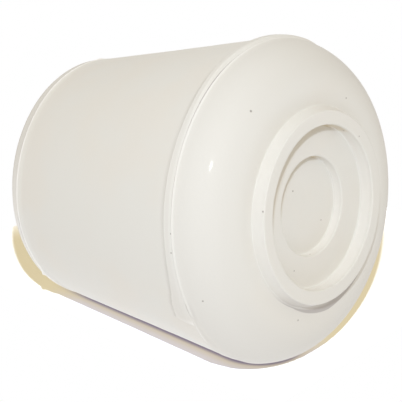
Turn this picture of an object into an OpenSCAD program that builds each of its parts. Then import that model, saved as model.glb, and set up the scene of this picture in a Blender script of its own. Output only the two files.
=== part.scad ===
// Rubber leg tip: a moulded cup that is pushed over the end of a round tube leg.
// It stands on the raised ring under its toe, with the mouth of its socket at the top.
// Millimetres. The origin is the centre of the ring's contact face, and +Z runs up the socket.

/* [Cup] */
// Overall height, from the contact face to the mouth
tip_h = 39.3; // [24:0.1:60]
// Wall thickness at the mouth
wall_t = 3.7; // [2.5:0.05:6]
// Draft of the cup's outside, in degrees, widening towards the toe
cup_draft = 8; // [2:0.25:14]
// Radius of the lip's outer edge
lip_edge_r = 1.2; // [0.4:0.1:1.5]

/* [Socket] */
// Diameter of the socket, a little under the tube that it grips
socket_d = 25; // [18:0.1:40]
// Thickness of the floor between the socket and the second step
floor_t = 7.8; // [3:0.1:14]
// Radius of the lip's inner edge, which leads the tube in
lead_in_r = 1; // [0.3:0.1:1.4]
// Radius between the socket's wall and its floor
socket_fillet_r = 1.5; // [0.5:0.1:4]

/* [Toe] */
// Height of the straight band between the cup's drafted side and the parting edge
band_h = 1.2; // [0.4:0.1:3]
// How far the toe stands out from the band at the parting edge
parting_step = 0.05; // [0.05:0.05:0.5]
// Draft of the toe's side at the parting edge, in degrees, narrowing towards the sole
toe_draft = 11; // [2:0.5:20]
// Radius of the round corner between the toe's side and its sole
toe_corner_r = 6.7; // [4:0.1:9]
// Width of the flat sole between the round corner and the ring
sole_w = 1.85; // [1:0.05:3]

/* [Ring] */
// How far the ring stands down from the sole
ring_h = 1.5; // [0.8:0.1:3]
// Width of the ring's contact face, with its two edges
ring_w = 1.9; // [1:0.05:3]
// Radius at the foot of the ring's outer wall
ring_fillet_r = 0.6; // [0.2:0.1:0.7]

/* [Recess] */
// Depth of the recess inside the ring, from the contact face
recess_depth = 1.95; // [0.8:0.05:3]
// Width of the shelf between the recess's wall and the second step
shelf_w = 4.05; // [2:0.05:6]
// Depth of the second step, from the shelf
step_depth = 1.3; // [0.5:0.05:2.5]
// Radius of every small edge and inner corner under the toe
small_edge_r = 0.2; // [0.1:0.05:0.35]

/* [Hidden] */
$fn = 180;
// How far a cutter runs past the face that it opens
past = 1;
rubber_colour = [0.87, 0.85, 0.81];

// Heights, from the contact face up
shelf_z = recess_depth;
step_z = shelf_z + step_depth;
socket_floor_z = step_z + floor_t;
corner_z = ring_h + toe_corner_r;
parting_z = corner_z - toe_corner_r * sin(toe_draft);
band_z = parting_z + band_h;

// Radii, from the mouth down the outside and then inwards under the toe
socket_r = socket_d / 2;
mouth_r = socket_r + wall_t;
band_r = mouth_r + (tip_h - band_z) * tan(cup_draft);
parting_r = band_r + parting_step;
corner_centre_r = parting_r - toe_corner_r * cos(toe_draft);
ring_r = corner_centre_r - sole_w;
recess_r = ring_r - ring_w;
step_r = recess_r - shelf_w;

// Directions in the section, in degrees anticlockwise, of the sides that leave a corner
OUTWARD = 0;
UP = 90;
INWARD = 180;
DOWN = 270;
FULL_TURN = 360;

function direction(angle) = [cos(angle), sin(angle)];

// What lies between a sharp corner and the arc of radius r that rounds it.
// The corner's sides leave it in the directions from and to, turning anticlockwise.
// It is cut off an outer edge, and added to an inner corner.
module spandrel(corner, from, to, r) {
    half = (to - from) / 2;
    reach = r / tan(half);
    centre = corner + r / sin(half) * direction(from + half);
    difference() {
        polygon([corner, corner + reach * direction(from), centre, corner + reach * direction(to)]);
        translate(centre) circle(r = r);
    }
}

// Outside of the cup, its straight band and the sole, without the toe's round corner
module cup_section() {
    polygon([
        [0, ring_h],
        [corner_centre_r, ring_h],
        [band_r, parting_z],
        [band_r, band_z],
        [mouth_r, tip_h],
        [0, tip_h]
    ]);
}

// The toe's round corner, cut off flat at the parting edge
module toe_corner_section() {
    intersection() {
        translate([corner_centre_r, corner_z]) circle(r = toe_corner_r);
        square([parting_r + past, parting_z]);
    }
}

// The ring's pad, as a full disc that the recess is cut from, and the fillet at its foot
module ring_section() {
    square([ring_r, ring_h + past]);
    spandrel([ring_r, ring_h], DOWN, FULL_TURN, ring_fillet_r);
}

// The blind socket, with a rounded floor corner
module socket_section() {
    difference() {
        translate([0, socket_floor_z]) square([socket_r, tip_h - socket_floor_z + past]);
        spandrel([socket_r, socket_floor_z], UP, INWARD, socket_fillet_r);
    }
}

// The two round steps inside the ring, with rounded inner corners
module recess_section() {
    difference() {
        union() {
            translate([0, -past]) square([recess_r, shelf_z + past]);
            square([step_r, step_z]);
        }
        spandrel([recess_r, shelf_z], INWARD, DOWN, small_edge_r);
        spandrel([step_r, step_z], INWARD, DOWN, small_edge_r);
    }
}

// What comes off the sharp outer edges: two at the lip, two at the ring and one at the second step
module edge_rounding() {
    spandrel([mouth_r, tip_h], INWARD, DOWN + cup_draft, lip_edge_r);
    spandrel([socket_r, tip_h], DOWN, FULL_TURN, lead_in_r);
    spandrel([ring_r, 0], UP, INWARD, small_edge_r);
    spandrel([recess_r, 0], OUTWARD, UP, small_edge_r);
    spandrel([step_r, shelf_z], OUTWARD, UP, small_edge_r);
}

module rubber_foot() {
    color(rubber_colour)
    rotate_extrude()
    difference() {
        union() {
            cup_section();
            toe_corner_section();
            ring_section();
        }
        socket_section();
        recess_section();
        edge_rounding();
    }
}

rubber_foot();
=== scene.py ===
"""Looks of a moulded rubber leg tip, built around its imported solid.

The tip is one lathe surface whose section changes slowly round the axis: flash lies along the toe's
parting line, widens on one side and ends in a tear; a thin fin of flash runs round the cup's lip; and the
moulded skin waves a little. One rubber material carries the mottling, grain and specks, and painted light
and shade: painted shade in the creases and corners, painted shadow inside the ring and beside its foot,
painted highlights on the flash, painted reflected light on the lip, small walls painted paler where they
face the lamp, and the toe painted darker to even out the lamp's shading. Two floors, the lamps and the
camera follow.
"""

from math import cos, pi, radians, sin, tan

import bpy
import numpy as np
from mathutils import Matrix, Vector


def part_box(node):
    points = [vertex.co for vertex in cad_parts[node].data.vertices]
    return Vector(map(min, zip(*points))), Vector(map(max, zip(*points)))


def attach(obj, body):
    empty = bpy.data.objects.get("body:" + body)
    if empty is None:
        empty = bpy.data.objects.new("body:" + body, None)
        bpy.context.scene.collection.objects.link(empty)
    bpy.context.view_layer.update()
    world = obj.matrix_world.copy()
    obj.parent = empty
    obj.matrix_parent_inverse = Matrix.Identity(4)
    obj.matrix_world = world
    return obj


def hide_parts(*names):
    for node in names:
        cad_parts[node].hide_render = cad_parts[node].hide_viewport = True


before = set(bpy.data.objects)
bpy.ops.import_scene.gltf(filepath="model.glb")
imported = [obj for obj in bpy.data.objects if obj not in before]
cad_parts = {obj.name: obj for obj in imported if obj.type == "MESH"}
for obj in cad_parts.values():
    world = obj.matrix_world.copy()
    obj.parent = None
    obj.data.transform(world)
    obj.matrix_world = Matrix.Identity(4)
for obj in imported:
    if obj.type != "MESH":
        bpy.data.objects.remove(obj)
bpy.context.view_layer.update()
NODE = "rubber_foot"
MM = 0.001

# Sizes of the moulding, in millimetres
TOP_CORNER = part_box(NODE)[1]
TIP_H = TOP_CORNER.z / MM
PARTING_R = TOP_CORNER.x / MM
MOUTH_R = 16.2
CUP_DRAFT = radians(8)
LIP_EDGE_R = 1.2
# The cosine and the sine of the lip's rounding are raised to this power, which makes it fuller than a
# circle
LIP_FULLNESS = 0.45
# How far the cup flares out at its mouth, beyond its straight draft, and where that begins
FLARE = 0.08
FLARE_FROM_Z = 22
SOCKET_R = 12.5
LEAD_IN_R = 1.0
SOCKET_FLOOR_Z = 11.05
SOCKET_FILLET_R = 1.5
PARTING_STEP = 0.05
TOE_DRAFT = radians(11)
CORNER_R = 6.7
RING_H = 1.5
RING_R = 12.1
RING_FOOT_R = 12.5
RING_FILLET_R = 0.2
RECESS_R = 10.3
SHELF_Z = 1.95
SHELF_W = 4.05
STEP_Z = 3.25
EDGE_R = 0.2

CORNER_Z = RING_H + CORNER_R
PARTING_Z = CORNER_Z - CORNER_R * sin(TOE_DRAFT)
CORNER_C = PARTING_R - CORNER_R * cos(TOE_DRAFT)
BAND_R = PARTING_R - PARTING_STEP
STEP_R = RECESS_R - SHELF_W

# Half the height of the ridge along the toe's parting line, and the height of the fin at the lip
RIDGE_HALF = 0.18
FIN_TALL = 0.32
# How far the round corner's rows turn, from its lowest point up towards the side
CORNER_TURN = radians(70)

# Grid of the lathe surface: columns are drawn together where the flash is torn, and the rows begin and
# end on a small circle round each pole
COLUMNS = 420
TEAR_AT = radians(25)
TEAR_PULL = 0.55
POLE_R = 0.3
FLAT_ROWS = 14

# Directions in which the painted shadow inside the ring and the painted shadow outside its foot reach
# furthest, and in which the small walls face the lamp and are painted paler, as painted light; and the
# middle of the toe's side that is painted darker, as painted shade, in degrees
SHADOW_REACH_AT = radians(81)
FOOT_SHADOW_AT = radians(261)
LIT_WALLS_AT = radians(260)
SHADED_SIDE_AT = 198

# The painted shadow of the inner and of the outer step: the two widths, in millimetres, between which it
# fades out on the floor in the direction that it reaches furthest, and the two directions, in degrees,
# between which the painted shade ends on the wall
INNER_SHADOW = ((2.2, 1.7), (171, 163))
OUTER_SHADOW = ((3.3, 2.7), (177, 170))

# Directions round the axis, in degrees, and how high the flash reaches there, in millimetres
FLASH_AT = (-60, 14, 15, 17, 20, 24, 30, 36, 45, 60, 85, 110, 150, 230, 290)
FLASH_TOP = (7.1, 7.1, 7.3, 10.3, 10.0, 9.7, 8.8, 8.4, 8.1, 8.1, 8.05, 8.1, 8.2, 7.9, 7.1)


def smooth(low, high, x):
    """0 at low and past it, 1 at high and past it, and the cubic 3t^2 - 2t^3 between. With low above high
    it falls instead of rising."""
    t = np.clip((x - low) / (high - low), 0, 1)
    return t * t * (3 - 2 * t)


def hump(centre, half_width, x):
    """1 at the centre, falling smoothly to 0 half_width away on both sides."""
    return 1 - smooth(0, half_width, np.abs(x - centre))


def turn_gap(phi, at):
    """Signed angle in degrees from the direction at to phi, between -180 and 180."""
    return (np.degrees(phi) - at + 180) % 360 - 180


def steps(rows):
    """A column of even steps from 0, without the last one at 1."""
    return (np.arange(rows) / rows)[:, None]


def column_angles():
    """Directions of the columns: even steps, drawn towards the tear by a sine of the angle from it."""
    t = np.arange(COLUMNS) / COLUMNS * 2 * pi
    return t - TEAR_PULL * np.sin(t - TEAR_AT)


class Section:
    """The tip's outline, collected as rows of (r, z) and of three marks, in this order: how much painted
    shade and shadow lies there; how pale it is, both as thin flash and as painted highlights and painted
    reflected light; and how much darker it is painted to even out the lamps' shading, most on the toe and
    least on the cup."""

    def __init__(self, columns):
        self.columns = columns
        self.r, self.z, self.marks = [], [], []

    def add(self, r, z, crease=0.0, flash=0.0, rubbed=0.5):
        """One run of rows; every value is a number, a column, or a grid of rows by columns."""
        shape = np.broadcast_shapes(np.shape(r), np.shape(z), (1, self.columns))
        self.r.append(np.broadcast_to(r, shape))
        self.z.append(np.broadcast_to(z, shape))
        self.marks.append(np.stack([np.broadcast_to(m, shape) for m in (crease, flash, rubbed)]))

    def line(self, start, end, rows, **marks):
        """Straight from start to end, without the last point: start + t * (end - start)."""
        t = steps(rows)
        self.add(start[0] + t * (end[0] - start[0]), start[1] + t * (end[1] - start[1]), **marks)

    def arc(self, centre, radius, start, end, rows, **marks):
        """Round an arc, without its last point: centre + radius * (cos, sin) of the angle."""
        a = np.radians(start + steps(rows) * (end - start))
        self.add(centre[0] + radius * np.cos(a), centre[1] + radius * np.sin(a), **marks)

    def grids(self):
        """Radius, height and marks as arrays of rows by columns."""
        return np.concatenate(self.r), np.concatenate(self.z), np.concatenate(self.marks, axis=1)


def flash_height(phi):
    """Height of the flash's free edge: straight between the listed directions, and ragged by two quick
    sines of the direction where it is torn."""
    degrees = (np.degrees(phi) + 60) % 360 - 60
    top = np.interp(degrees, FLASH_AT, FLASH_TOP)
    ragged = 0.06 * np.sin(1.9 * degrees) + 0.05 * np.sin(4.3 * degrees + 1)
    return top + ragged * hump(22, 14, degrees)


def rim_height(degrees):
    """Height of the toe's parting line, which climbs on the side that the tip lies on."""
    return PARTING_Z - 0.08 + 2.2 * smooth(30, -25, degrees) * smooth(-150, -90, degrees)


def fin_height(degrees):
    """How far the lip's fin stands out: two slow sines of the direction, with two tags and a notch."""
    turn = np.radians(degrees)
    slow = 0.08 + 0.05 * hump(10, 40, degrees) + 0.02 * np.sin(3 * turn + 1) + 0.015 * np.sin(7 * turn)
    tags = 0.30 * hump(10, 2.5, degrees) + 0.14 * hump(141, 4, degrees)
    notch = 0.10 * hump(-2, 3, degrees)
    return np.maximum(slow + tags - notch, -0.03)


def outer_radius(z):
    """The moulding's outside at a height. Up to the parting line it is the round corner, whose radius is
    its centre's and the square root of CORNER_R^2 - depth^2. Above, it is the cup's straight draft with
    its flare, at most as wide as the band."""
    corner = CORNER_C + np.sqrt(np.maximum(CORNER_R**2 - (CORNER_Z - np.minimum(z, PARTING_Z)) ** 2, 0))
    straight = np.minimum(MOUTH_R + (TIP_H - z) * tan(CUP_DRAFT), BAND_R)
    return np.where(z < PARTING_Z, corner, straight + FLARE * smooth(FLARE_FROM_Z, TIP_H, z))


def add_step(s, phi, start_r, wall_r, floor_z, top_z, wall_rows, shadow_reach, shade_end):
    """A round step under the toe: its floor out to the wall, the corner, the wall and its edge. On the
    lamp's side, painted shade darkens the corner, and painted shadow spreads from there: up the wall,
    which faces away from the lamp, and over a crescent of the floor where the lamp's shadow falls, as wide
    as the given reach times the cosine of the angle from the direction that it reaches furthest. On the
    far side the walls face the lamp and are painted paler, as painted light."""
    e = EDGE_R
    degrees = turn_gap(phi, 0)
    shaded_side = smooth(30, 60, degrees) * smooth(171, 159, degrees)
    spread = np.maximum(np.cos(phi - SHADOW_REACH_AT), 0.05)
    r = np.linspace(start_r, wall_r - 2 * e, FLAT_ROWS, endpoint=False)[:, None]
    crescent = smooth(shadow_reach[0] * spread, shadow_reach[1] * spread, wall_r - r)
    # Painted shadow: a crescent of the floor beside the wall on the lamp's side
    s.add(r, floor_z, crease=0.17 * shaded_side * crescent)
    s.line((wall_r - 2 * e, floor_z), (wall_r - e, floor_z), 2, crease=0.12 * shaded_side)
    # Painted shade in the corner
    s.arc((wall_r - e, floor_z - e), e, 90, 0, 4, crease=0.5 * shaded_side)
    # Painted shade on the wall on the lamp's side, which faces away from it
    wall_shade = 0.35 * smooth(30, 58, degrees) * smooth(*shade_end, degrees)
    # Painted light: the walls that face the lamp are painted paler
    wall_light = 0.3 * smooth(-0.1, 0.5, np.cos(phi - LIT_WALLS_AT))
    s.line((wall_r, floor_z - e), (wall_r, top_z + e), wall_rows, crease=wall_shade, flash=wall_light)
    s.arc((wall_r + e, top_z + e), e, 180, 270, 5)


def add_ring(s, phi):
    """The ring's contact face, its outer wall, which widens to its foot, and the sole. On the side away
    from the lamp, the wall and its fillet are painted darker, as painted shade, and painted shadow lies
    beside the foot, out to a thin dark line at its edge that is RING_R + 0.5 mm + 2 mm times the cosine of
    the angle from the direction that it reaches furthest, away from the axis."""
    e, f = EDGE_R, RING_FILLET_R
    degrees = turn_gap(phi, 0)
    shaded_side = smooth(8, -12, degrees) * smooth(-118, -98, degrees)
    s.line((RECESS_R + e, 0.0), (RING_R - e, 0.0), 5)
    s.arc((RING_R - e, e), e, -90, 0, 5)
    # Painted shade on the wall and fillet, and painted shadow on the sole, on the side away from the lamp
    s.line((RING_R, e), (RING_FOOT_R, RING_H - f), 4, crease=0.2 * shaded_side)
    foot_r = RING_FOOT_R + f
    end_w = 0.08
    s.arc((foot_r, RING_H - f), f, 180, 90, 5, crease=0.3 * shaded_side)
    reach = np.maximum(RING_R + 0.5 + 2.0 * np.cos(phi - FOOT_SHADOW_AT), foot_r + 0.1)
    reach = np.minimum(reach, CORNER_C - 0.2)
    t = steps(4)
    shade = (0.1 + 0.5 * smooth(0, 0.5, t)) * shaded_side
    s.add(foot_r + t * (reach - foot_r), RING_H, crease=shade)
    # Painted dark line at the painted shadow's edge
    s.line((reach, RING_H), (reach + end_w, RING_H), 1, crease=0.6 * shaded_side)
    s.line((reach + end_w, RING_H), (CORNER_C, RING_H), 3)


def add_toe(s, phi, rim_z):
    """The round corner, centre + radius * (cos, sin) of its angle; its side up to the parting line, with a
    shallow fold beside the tear; and the small ridge along that line, half a sine wave across."""
    degrees = turn_gap(phi, 0)
    t = steps(32)
    turn = radians(-90) + t * CORNER_TURN
    # Painted shade: the toe's side away from the lamp is painted darker
    side_shade = 0.13 * hump(0, 52, turn_gap(phi, SHADED_SIDE_AT))
    # The round corner, and the side above it, are painted darker to even out the lamp's light, which is
    # strongest on the toe
    marks = {"crease": side_shade * smooth(0.35, 0.62, t), "rubbed": 0.5 + 0.5 * smooth(0.0, 0.45, t)}
    s.add(CORNER_C + CORNER_R * np.cos(turn), CORNER_Z + CORNER_R * np.sin(turn), **marks)
    side_z = CORNER_Z - CORNER_R * cos(CORNER_TURN)
    t = steps(6)
    rise_z = side_z + (rim_z - RIDGE_HALF - side_z) * t
    # Painted shade in the shallow fold beside the tear
    fold = hump(22, 8, degrees) * smooth(0.3, 0.9, t)
    s.add(outer_radius(rise_z) - 0.05 * fold, rise_z, crease=0.15 * fold + side_shade, rubbed=1 - 0.5 * t)
    t = steps(8)
    ridge = np.sin(pi * t)
    ridge_z = rim_z + RIDGE_HALF * (2 * t - 1)
    stand = 0.03 + 0.06 * smooth(0, 24, degrees) * smooth(-175, -150, -np.abs(degrees))
    # The ridge is pale as thin flash, with a painted highlight along its crest, strongest in two
    # directions
    pale_and_highlight = 0.2 + 0.4 * hump(110, 45, degrees) + 0.4 * hump(9, 8, degrees)
    s.add(outer_radius(ridge_z) + stand * ridge, ridge_z, flash=pale_and_highlight * ridge)


def add_flash(s, phi, rim_z):
    """The seam above the toe's ridge, deeper on top, and the flash, whose face rises from the seam to its
    free edge and stands a little proud of the cup there. Returns the height at which the cup's own skin
    begins, how much flash there is, and how crisp its edge is."""
    degrees = turn_gap(phi, 0)
    deep = 0.02 + 0.12 * hump(108, 34, degrees) + 0.05 * hump(23, 5, degrees)
    climb = 0.8 * deep
    start_z = rim_z + RIDGE_HALF
    groove_z = start_z + climb
    seam_z = groove_z + climb
    groove = (outer_radius(groove_z) - deep, groove_z)
    # Painted shade in the seam's groove, darker where it is deeper
    s.line((outer_radius(start_z), start_z), groove, 3, crease=deep * 4)
    s.line(groove, (outer_radius(seam_z), seam_z), 3, crease=deep * 4)
    top = np.maximum(flash_height(phi), seam_z + 0.05)
    present = smooth(0.1, 0.8, top - seam_z)
    torn = hump(16.2, 2.2, degrees)
    crisp = smooth(48, 38, degrees) * present
    proud = (0.07 + 0.32 * smooth(84, 118, degrees) * smooth(-175, -160, -np.abs(degrees))) * present
    t = steps(10)
    face_z = seam_z + (top - seam_z) * t
    swell = smooth(0, 0.3, t) * proud + 0.05 * torn * np.sin(pi * t)
    # Painted highlight along the flash's free edge, and paler rubber at the tear
    pale_and_highlight = 0.3 * present * smooth(0.75, 1, t) + 0.5 * torn
    s.add(outer_radius(face_z) + swell, face_z, flash=pale_and_highlight, rubbed=0.3)
    edge_z = top + 0.02 + (0.16 - 0.10 * crisp) * present
    outer_edge = (outer_radius(top) + proud, top)
    inner_edge = (outer_radius(edge_z) - 0.03 * crisp, edge_z)
    # Painted shade under the flash's free edge, darkest where the edge is crisp
    s.line(outer_edge, inner_edge, 6, crease=0.06 * present + 0.12 * crisp, rubbed=0.2)
    return edge_z, present, crisp


def add_cup(s, phi, edge_z, present, crisp):
    """The cup's side from the flash up to the lip, in rows that crowd towards the flash, with painted
    shade next to the flash's edge; the fin round the lip, about half a sine wave across, pale as thin
    flash and with a painted highlight; and the lip's rounding, which is radius * (cos, sin) of its angle,
    each raised to LIP_FULLNESS, carries painted shade that deepens as it turns over, and is painted paler
    on the ground's side, as painted light reflected from the floor."""
    degrees = turn_gap(phi, 0)
    lip_reach = LIP_EDGE_R / tan((pi / 2 + CUP_DRAFT) / 2)
    lip_z = TIP_H - LIP_EDGE_R + LIP_EDGE_R * sin(CUP_DRAFT)
    fin_low = lip_z - 0.3 - 0.3 * smooth(35, 85, degrees)
    cup_z = edge_z + (fin_low - edge_z) * steps(28) ** 1.2
    # Painted shade on the cup just beside the flash's edge
    fade = present * smooth(0.6, 0, cup_z - edge_z)
    dip = 0.02 * crisp * smooth(0.1, 0, cup_z - edge_z)
    s.add(outer_radius(cup_z) - dip, cup_z, crease=(0.08 + 0.08 * crisp) * fade, rubbed=0)
    t = steps(8)
    fin_z = fin_low + FIN_TALL * t
    fin = fin_height(degrees) * np.sin(pi * t) ** 0.8
    # The fin is pale as thin flash, with a painted highlight along its crest
    s.add(outer_radius(fin_z) + fin, fin_z, flash=np.sin(pi * t) ** 0.5, rubbed=0)
    # On the ground side the fin ends 0.02 mm above lip_z, so these rows double back there by 0.013 mm, and
    # the two rows of quads between them face inwards
    above_z = fin_low + FIN_TALL + (lip_z - fin_low - FIN_TALL) * steps(3)
    # Painted reflected light: the lip is painted paler on the ground's side, as if lit from the floor, and
    # elsewhere carries a little painted shade
    floor_bounce_light = smooth(80, 25, degrees) * smooth(-150, -110, degrees)
    s.add(outer_radius(above_z), above_z, crease=0.08 * (1 - floor_bounce_light), flash=0.4 * floor_bounce_light)
    t = steps(12)
    turn = CUP_DRAFT + t * (pi / 2 - CUP_DRAFT)
    lip_r = MOUTH_R - lip_reach + FLARE
    round_r = lip_r + LIP_EDGE_R * np.cos(turn) ** LIP_FULLNESS
    round_z = TIP_H - LIP_EDGE_R + LIP_EDGE_R * np.sin(turn) ** LIP_FULLNESS
    # Painted shade that deepens as the lip's rounding turns over
    shade = (0.06 + 0.28 * t) * (1 - 0.8 * floor_bounce_light)
    s.add(round_r, round_z, crease=shade, flash=0.7 * floor_bounce_light * smooth(1, 0.5, t))
    s.line((lip_r, TIP_H), (SOCKET_R + LEAD_IN_R, TIP_H), 4)


def add_socket(s):
    """The lead-in, the socket's wall, its fillet and its floor."""
    g = SOCKET_FILLET_R
    s.arc((SOCKET_R + LEAD_IN_R, TIP_H - LEAD_IN_R), LEAD_IN_R, 90, 180, 7)
    s.line((SOCKET_R, TIP_H - LEAD_IN_R), (SOCKET_R, SOCKET_FLOOR_Z + g), 8)
    s.arc((SOCKET_R - g, SOCKET_FLOOR_Z + g), g, 0, -90, 7)
    s.line((SOCKET_R - g, SOCKET_FLOOR_Z), (POLE_R, SOCKET_FLOOR_Z), 6)
    s.add(np.full((1, 1), POLE_R), SOCKET_FLOOR_Z)


def tip_section(phi):
    """Outline from the middle of the underside, out round the toe, up the cup and down the socket."""
    s = Section(len(phi))
    add_step(s, phi, POLE_R, STEP_R, STEP_Z, SHELF_Z, 3, *INNER_SHADOW)
    add_step(s, phi, STEP_R + EDGE_R, RECESS_R, SHELF_Z, 0.0, 4, *OUTER_SHADOW)
    add_ring(s, phi)
    rim_z = rim_height(turn_gap(phi, 0))
    add_toe(s, phi, rim_z)
    add_cup(s, phi, *add_flash(s, phi, rim_z))
    add_socket(s)
    return s.grids()


def skin_wave(phi, r, z):
    """Unevenness of the moulded skin: a few slow sines of direction and height, in millimetres."""
    along = z + 0.6 * r
    wave = np.sin(3 * phi + 0.23 * along) + 0.7 * np.sin(5 * phi - 0.31 * along + 2)
    wave = wave + 0.5 * np.sin(11 * phi + 0.9 * along + 1) + 0.4 * np.sin(1.3 * along + 4 * phi)
    return 0.012 * wave


def tip_mesh():
    """The lathe surface as arrays: vertices on a grid of rows by columns, a pole at each end, and quads
    between neighbours and a fan round each pole, wound so that they face outwards."""
    phi = column_angles()
    r, z, marks = tip_section(phi)
    outside = smooth(0.6, 2.0, r - SOCKET_R) * smooth(0.4, 2.0, z)
    r = r + skin_wave(phi, r, z) * outside
    rows, columns = r.shape
    grid = np.stack([r * np.cos(phi), r * np.sin(phi), z], axis=-1).reshape(-1, 3)
    poles = np.array([[0, 0, STEP_Z], [0, 0, SOCKET_FLOOR_Z]])
    vertices = np.concatenate([grid, poles]) * MM
    across = np.arange(columns)
    after = (across + 1) % columns
    row = np.arange(rows - 1)[:, None] * columns
    quads = np.stack([row + across, row + after, row + columns + after, row + columns + across], axis=-1)
    first, last = rows * columns, (rows - 1) * columns
    under = np.stack([np.full(columns, first), after, across], axis=-1)
    inside = np.stack([np.full(columns, first + 1), last + across, last + after], axis=-1)
    faces = quads.reshape(-1, 4).tolist() + under.tolist() + inside.tolist()
    flat_marks = np.concatenate([marks.reshape(3, -1), marks[:, [0, -1], 0]], axis=1)
    return vertices, faces, flat_marks


def make_piece(name, vertices, faces, marks=()):
    """A smooth-shaded mesh object at the origin, with a float attribute for each named mark."""
    mesh = bpy.data.meshes.new(name)
    mesh.from_pydata(vertices.tolist(), [], faces)
    for mark, values in marks:
        layer = mesh.attributes.new(mark, "FLOAT", "POINT")
        layer.data.foreach_set("value", np.ascontiguousarray(values, dtype=np.float32))
    mesh.polygons.foreach_set("use_smooth", np.ones(len(mesh.polygons), dtype=bool))
    mesh.update()
    mesh.validate()
    piece = bpy.data.objects.new(name, mesh)
    bpy.context.scene.collection.objects.link(piece)
    return piece


class Wire:
    """An output socket of a material; an expression on wires adds the Math nodes that work it out."""

    def __init__(self, graph, socket):
        self.graph = graph
        self.socket = socket

    def math(self, operation, *others):
        """The Math node of this name, on this wire and the others."""
        inputs = dict(enumerate((self, *others)))
        return self.graph.node("ShaderNodeMath", {"operation": operation}, inputs)

    def __add__(self, other):
        return self.math("ADD", other)

    def __sub__(self, other):
        return self.math("SUBTRACT", other)

    def __rsub__(self, other):
        return self * -1.0 + other

    def __mul__(self, other):
        return self.math("MULTIPLY", other)

    __radd__ = __add__
    __rmul__ = __mul__

    def at_most(self, other):
        return self.math("MINIMUM", other)

    def at_least(self, other):
        return self.math("MAXIMUM", other)

    def ramp(self, low, high):
        """0 where this is low, 1 where it is high, smooth between."""
        settings = {"interpolation_type": "SMOOTHSTEP"}
        return self.graph.node("ShaderNodeMapRange", settings, {0: self, 1: low, 2: high})


class Graph:
    """The node tree of a material or a world, cleared and built up node by node."""

    def __init__(self, owner):
        self.owner = owner
        owner.use_nodes = True
        self.tree = owner.node_tree
        self.tree.nodes.clear()

    def node(self, kind, settings=None, inputs=None, output=0):
        """Adds a node: its settings first, then the values or wires of its sockets."""
        node = self.tree.nodes.new(kind)
        for name, value in (settings or {}).items():
            setattr(node, name, value)
        for key, value in (inputs or {}).items():
            if isinstance(value, Wire):
                self.tree.links.new(value.socket, node.inputs[key])
            else:
                node.inputs[key].default_value = value
        return Wire(self, node.outputs[output]) if len(node.outputs) else None

    def place(self):
        """Object coordinates, in metres."""
        return self.node("ShaderNodeTexCoord", output="Object")

    def blend(self, factor, first, second):
        """A colour between two. A Mix node's sockets 6 and 7 and its output 2 are the ones for colour."""
        inputs = {0: factor, 6: first, 7: second}
        return self.node("ShaderNodeMix", {"data_type": "RGBA", "blend_type": "MIX"}, inputs, output=2)

    def vector(self, operation, first, second):
        """A number from two vectors, such as their distance or their dot product."""
        inputs = {0: first, 1: second}
        return self.node("ShaderNodeVectorMath", {"operation": operation}, inputs, output="Value")

    def noise(self, place, scale, detail=3.0, roughness=0.5):
        """Noise from 0 to 1; scale is in waves per metre."""
        inputs = {"Vector": place, "Scale": scale, "Detail": detail, "Roughness": roughness}
        return self.node("ShaderNodeTexNoise", None, inputs)

    def attribute(self, name):
        """One of the marks that the mesh carries."""
        return self.node("ShaderNodeAttribute", {"attribute_name": name}, output="Fac")

    def finish(self, surface):
        """Puts a shader on the output, and returns the material."""
        self.node("ShaderNodeOutputMaterial", None, {"Surface": surface})
        return self.owner


def on_toe(degrees, r, z):
    """A point in metres from its direction, radius and height in millimetres."""
    return (r * cos(radians(degrees)) * MM, r * sin(radians(degrees)) * MM, z * MM)


# Specks in the rubber: direction in degrees, radius, height and size in millimetres
SPECKS = (
    (102, 17.33, 2.35, 0.16),
    (60, 12.1, 0.2, 0.12),
    (26.5, 19.8, 4.8, 0.12),
    (51.5, 20.6, 7.0, 0.13),
    (45, 20.6, 7.2, 0.10),
    (170, 14.4, 1.5, 0.12),
    (96, 3.1, 3.25, 0.12),
    (-92, 4.3, 3.25, 0.10),
    (-40, 6.2, 2.6, 0.12),
    (-10, 8.4, 1.95, 0.10),
    (-5, 12.2, 0.0, 0.12),
    (-22, 14.2, 1.5, 0.12),
    (173, 10.3, 0.9, 0.14),
    (-175, 10.8, 0.0, 0.10),
)
RUBBER_COOL = (0.812, 0.798, 0.750, 1)
RUBBER_WARM = (0.818, 0.790, 0.730, 1)
# Darker colour that the toe is painted towards, to even out the lamps' shading
DARKENED_RUBBER = (0.748, 0.726, 0.676, 1)
# Pale colour of the thin flash, also used for painted highlights and painted reflected light
FLASH_AND_HIGHLIGHT = (0.98, 0.955, 0.92, 1)
# Painted shade: grey, and brown inside the ring where it stands for the shadows there
SHADE_GREY = (0.36, 0.32, 0.31, 1)
SHADOW_BROWN = (0.48, 0.34, 0.10, 1)
SPECK = (0.28, 0.24, 0.21, 1)
FLASH_AND_HIGHLIGHT_STRENGTH = 0.9
SPECK_STRENGTH = 0.75
# Distances from the origin, in metres, over which the painted shade turns from grey to brown, the colour
# of the painted shadows inside the ring
BROWN_WITHIN = (0.0118, 0.0112)


def specks(g, place):
    """1 in the middle of each speck and 0 outside it, with a soft edge."""
    dirt = None
    for degrees, r, z, size in SPECKS:
        away = g.vector("DISTANCE", place, on_toe(degrees, r, z))
        spot = away.ramp(1.3 * size * MM, 0.5 * size * MM)
        dirt = spot if dirt is None else dirt.at_least(spot)
    return dirt


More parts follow.
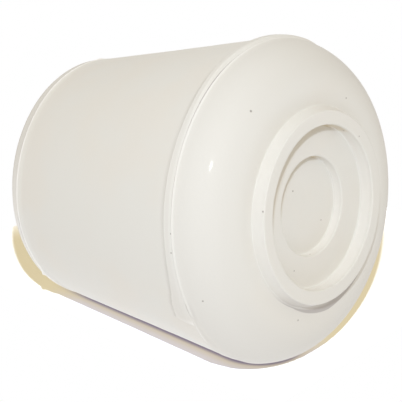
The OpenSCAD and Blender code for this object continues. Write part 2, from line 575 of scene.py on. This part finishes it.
def rubber_material():
    """Off-white moulded rubber: slow mottling, fine grain, specks, and the marks that the mesh carries.
    The painted shade is brown inside the ring, where it stands for the shadows there, and grey elsewhere;
    the pale colour serves both the thin flash and the painted highlights and reflected light; and the
    darker colour is painted to even out the lamps' shading."""
    g = Graph(bpy.data.materials.new("off_white_rubber"))
    place = g.place()
    slow = g.noise(place, 110.0, 2.0)
    patch = g.noise(place, 420.0, 3.0, 0.6)
    grain = g.noise(place, 2600.0, 4.0, 0.65)
    colour = g.blend(slow.ramp(0.35, 0.65), RUBBER_COOL, RUBBER_WARM)
    colour = g.blend(g.attribute("rubbed"), colour, DARKENED_RUBBER)
    colour = g.blend(g.attribute("flash") * FLASH_AND_HIGHLIGHT_STRENGTH, colour, FLASH_AND_HIGHLIGHT)
    inner = g.vector("DISTANCE", place, (0, 0, 0)).ramp(*BROWN_WITHIN)
    shade_colour = g.blend(inner, SHADE_GREY, SHADOW_BROWN)
    colour = g.blend(g.attribute("crease").at_most(1.0), colour, shade_colour)
    colour = g.blend(specks(g, place) * SPECK_STRENGTH, colour, SPECK)
    height = grain + patch * 2.0
    bump = g.node("ShaderNodeBump", None, {"Strength": 0.3, "Distance": 0.00004, "Height": height})
    inputs = {
        "Base Color": colour,
        "Roughness": 0.50 + 0.08 * patch,
        "Normal": bump,
        "IOR": 1.5,
        "Specular IOR Level": 0.25,
        "Coat Weight": 0.10,
        "Coat Roughness": 0.12,
    }
    return g.finish(g.node("ShaderNodeBsdfPrincipled", None, inputs))


# The leaning floor: step from one slat to the next and depth of each, in metres, and its two strips, as
# how far each one runs up the slope and to the sides
SLAT_PITCH = 0.00025
SLAT_DEPTH = 0.0002
WIDE_STRIP = ((-0.006, 0.024), (-0.050, 0.012))
NARROW_STRIP = ((0.024, 0.060), (-0.007, 0.010))

# Where the leaning floor's colours lie, in metres. The line under the tip starts at a height, shifted to
# one side, and drifts back by a share of the height.
LINE_SIDE = (0.707, 0.707, 0)
LINE_LOW = 0.0130
LINE_SHIFT = 0.0009
LINE_DRIFT = 0.048
# Distances from that line between which the painted contact shadow turns the floor tan, and then dark
TAN_WITHIN = (0.0081, 0.0066)
DARK_WITHIN = (0.0069, 0.0060)
# Heights, and places across, between which it turns gold; and distances from the tip's middle between
# which it turns white
GOLD_UP = (0.038, 0.047)
GOLD_ACROSS = (0.001, -0.008)
WHITE_MIDDLE = (0, 0, 0.02)
WHITE_PAST = (0.044, 0.056)

# Colours of the two floors: what the lamps light, and a steady glow
STANDING_LIT, STANDING_GLOW = (0.57, 0.57, 0.58, 1), (0.51, 0.51, 0.51, 1)
LYING_LIT, LYING_GLOW = (0.74, 0.73, 0.74, 1), (0.19, 0.17, 0.19, 1)
GOLD_LIT, GOLD_GLOW = (0.55, 0.54, 0.52, 1), (0.42, 0.345, 0.165, 1)
# Colours of the painted contact shadow under the tip: its tan edge and its dark middle
TAN_SHADOW_LIT = (0.66, 0.61, 0.45, 1)
CONTACT_SHADOW_LIT, CONTACT_SHADOW_GLOW = (0.33, 0.29, 0.42, 1), (0, 0, 0, 1)
WHITE_GLOW = (1.3, 1.3, 1.3, 1)


def floor_shader(g, lit, glow):
    """A floor that shows only on the front of its faces: lamps light one colour, which shows the shadow,
    and a steady glow fills it."""
    inputs = {
        "Base Color": lit,
        "Emission Color": glow,
        "Emission Strength": 1.0,
        "Roughness": 1.0,
        "Specular IOR Level": 0.0,
    }
    front = g.node("ShaderNodeBsdfPrincipled", None, inputs)
    clear = g.node("ShaderNodeBsdfTransparent")
    back = g.node("ShaderNodeNewGeometry", output="Backfacing")
    return g.finish(g.node("ShaderNodeMixShader", None, {0: back, 1: front, 2: clear}))


def standing_material():
    """The level floor under the ring, in one colour."""
    g = Graph(bpy.data.materials.new("standing_floor"))
    return floor_shader(g, STANDING_LIT, STANDING_GLOW)


def lying_material():
    """The leaning floor: a painted contact shadow, dark and edged with tan, near the line under the tip,
    whose distance is the square root of beside^2 + below^2; gold past the mouth and on one side; and white
    away from the tip."""
    g = Graph(bpy.data.materials.new("lying_floor"))
    place = g.place()
    along = g.node("ShaderNodeSeparateXYZ", None, {0: place}, output="Z")
    across = g.vector("DOT_PRODUCT", place, LINE_SIDE)
    beside = across + LINE_DRIFT * along - LINE_SHIFT
    below = (along - LINE_LOW).at_most(0.0)
    gap = (beside * beside + below * below).math("SQRT")
    # Painted contact shadow: dark near the line under the tip, edged with tan
    under = gap.ramp(*DARK_WITHIN)
    far = along.ramp(*GOLD_UP).at_least(across.ramp(*GOLD_ACROSS))
    away = g.vector("DISTANCE", place, WHITE_MIDDLE).ramp(*WHITE_PAST)
    lit = g.blend(gap.ramp(*TAN_WITHIN), LYING_LIT, TAN_SHADOW_LIT)
    lit = g.blend(far, g.blend(under, lit, CONTACT_SHADOW_LIT), GOLD_LIT)
    glow = g.blend(far, g.blend(under, LYING_GLOW, CONTACT_SHADOW_GLOW), GOLD_GLOW)
    return floor_shader(g, lit, g.blend(away, glow, WHITE_GLOW))


def level_floor(half, z):
    """Corners of a square floor, facing up."""
    return np.array([(-half, -half, z), (half, -half, z), (half, half, z), (-half, half, z)])


def slatted_floor(touch, down, side, rise, reach):
    """Corners of the leaning floor, as level slats that face down and follow each other up the floor's
    slope: touch + u * slope for u over rise, from end to end of reach along side, and one slat's depth
    outwards. From below they look like one floor; from above nothing of them shows."""
    outward = Vector((down.x, down.y, 0)).normalized()
    slope = down.cross(side).normalized()
    slope = slope if slope.z > 0 else -slope
    u = np.arange(*rise, SLAT_PITCH)[:, None, None]
    edges = np.array([reach[0] * side, reach[1] * side, reach[1] * side, reach[0] * side])
    depth = np.array([0, 0, 1, 1])[:, None] * SLAT_DEPTH * np.array(outward)
    return (np.array(touch) + u * np.array(slope) + edges + depth).reshape(-1, 3)


def stage_floor(name, corners, material):
    """A floor of the stage, from the corners of its quads. Only the camera sees it, so it puts no light on
    the tip and takes none away."""
    floor = make_piece(name, corners, np.arange(len(corners)).reshape(-1, 4).tolist())
    floor.data.materials.append(material)
    floor.visible_diffuse = False
    floor.visible_glossy = False
    floor.visible_transmission = False
    floor.visible_shadow = False
    return floor


def make_collection(name, *pieces):
    """The pieces that a linked lamp shines on."""
    collection = bpy.data.collections.new(name)
    for piece in pieces:
        collection.objects.link(piece)
    return collection


def make_lamp(name, kind, place, strength, colour=(1, 1, 1), size=0.0, only=None, shine=False):
    """A small round lamp at a place, or a sun that shines from the direction of place. One with shine
    gives only a mirrored glint, and the others give only plain light."""
    light = bpy.data.lights.new(name, kind)
    light.energy = strength
    light.color = colour
    lamp = bpy.data.objects.new(name, light)
    if kind == "SUN":
        light.angle = size
        lamp.rotation_euler = Vector(place).to_track_quat("Z", "Y").to_euler()
    else:
        light.shadow_soft_size = size
        lamp.location = place
    lamp.visible_glossy = shine
    lamp.visible_diffuse = not shine
    if only:
        lamp.light_linking.receiver_collection = only
    bpy.context.scene.collection.objects.link(lamp)


# Outputs of Light Path for what the camera sees, straight, mirrored and through clear things
SEEN_RAYS = ("Is Camera Ray", "Is Glossy Ray", "Is Transmission Ray")


def make_world(strength, colour):
    """Even light all round; the camera, and what mirrors or lets light through, see plain white."""
    world = bpy.data.worlds.new("studio")
    bpy.context.scene.world = world
    g = Graph(world)
    rays = [g.node("ShaderNodeLightPath", output=name) for name in SEEN_RAYS]
    seen = rays[0].at_least(rays[1]).at_least(rays[2])
    fill = g.node("ShaderNodeBackground", None, {"Color": (*colour, 1), "Strength": strength})
    white = g.node("ShaderNodeBackground", None, {"Color": (1, 1, 1, 1), "Strength": 1.0})
    both = g.node("ShaderNodeMixShader", None, {0: seen, 1: fill, 2: white})
    g.node("ShaderNodeOutputWorld", None, {"Surface": both})


# The tip
vertices, faces, marks = tip_mesh()
tip = make_piece("rubber_tip", vertices, faces, zip(("crease", "flash", "rubbed"), marks))
tip.data.materials.append(rubber_material())
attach(tip, "root")
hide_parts(NODE)

# The floor that the tip lies on in the main view, which touches the lip and the parting edge on one side
# with a little room to spare, and the level floor just under the ring
GROUND_SIDE = Vector((1, -1, 0)).normalized()
FLOOR_SIDE = Vector((1, 1, 0)).normalized()
ROOM = 0.0002
LEVEL_HALF = 1.5
LEVEL_Z = -0.00005
lean = np.arctan2(PARTING_R - MOUTH_R, TIP_H - PARTING_Z)
down = GROUND_SIDE * cos(lean) + Vector((0, 0, sin(lean)))
touch = (GROUND_SIDE * PARTING_R + Vector((0, 0, PARTING_Z))) * MM + down * ROOM
strips = [slatted_floor(touch, down, FLOOR_SIDE, *strip) for strip in (WIDE_STRIP, NARROW_STRIP)]
lying_floor = stage_floor("lying_floor", np.concatenate(strips), lying_material())
standing_floor = stage_floor("standing_floor", level_floor(LEVEL_HALF, LEVEL_Z), standing_material())

# Light: a small lamp near the camera, broad lamps that fill and stand for the floor's own light, a lamp
# for the glint, and one beside the small lamp that is for the floors alone and casts the tip's shadow
KEY_AT = (0.0262, 0.1670, -0.1060)
SHADOW_AT = (0.0262, 0.1670, -0.1150)
GLINT_AT = (0.0070, 0.1070, -0.0950)
make_world(0.55, (1.0, 0.91, 0.785))
on_tip = make_collection("lit_tip", tip)
on_floor = make_collection("lit_floor", lying_floor, standing_floor)
make_lamp("key", "POINT", KEY_AT, 0.6, (1.0, 1.12, 1.29), 0.002, only=on_tip)
make_lamp("bounce", "SUN", (0.7, -0.7, 0.0), 1.3, (1.0, 1.12, 1.32), radians(120), only=on_tip)
make_lamp("fill", "SUN", (-0.525, 0.565, -0.637), 0.48, (1.0, 1.0, 0.93), radians(60), only=on_tip)
make_lamp("side", "SUN", (0.45, 0.62, 0.64), 0.2, (0.9, 1.0, 1.1), radians(90), only=on_tip)
make_lamp("glint", "POINT", GLINT_AT, 0.2, size=0.004, only=on_tip, shine=True)
make_lamp("upper", "SUN", (0.1, -0.6, 0.79), 0.75, (0.90, 0.96, 1.1), radians(25))
make_lamp("floor_lamp", "POINT", SHADOW_AT, 4.0, (0.915, 1.086, 1.371), 0.002, only=on_floor)

# Camera, below the toe and to one side, looking up at the ring; its lens and sensor are in millimetres
EYE = Vector((0.05801, 0.13515, -0.10459))
LOOK = Vector((-0.294574, -0.703886, 0.646352)).normalized()
UPRIGHT = Vector((-0.876951, 0.467860, 0.109836))
LENS = 130.9
SENSOR = 36
camera_data = bpy.data.cameras.new("camera")
camera_data.lens = LENS
camera_data.sensor_width = SENSOR
camera_data.clip_end = 20
camera = bpy.data.objects.new("camera", camera_data)
bpy.context.scene.collection.objects.link(camera)
right = LOOK.cross(UPRIGHT).normalized()
axes = Matrix((right, right.cross(LOOK), -LOOK)).transposed().to_4x4()
camera.matrix_world = Matrix.Translation(EYE) @ axes
bpy.context.scene.camera = camera
bpy.context.scene.view_settings.view_transform = "Standard"
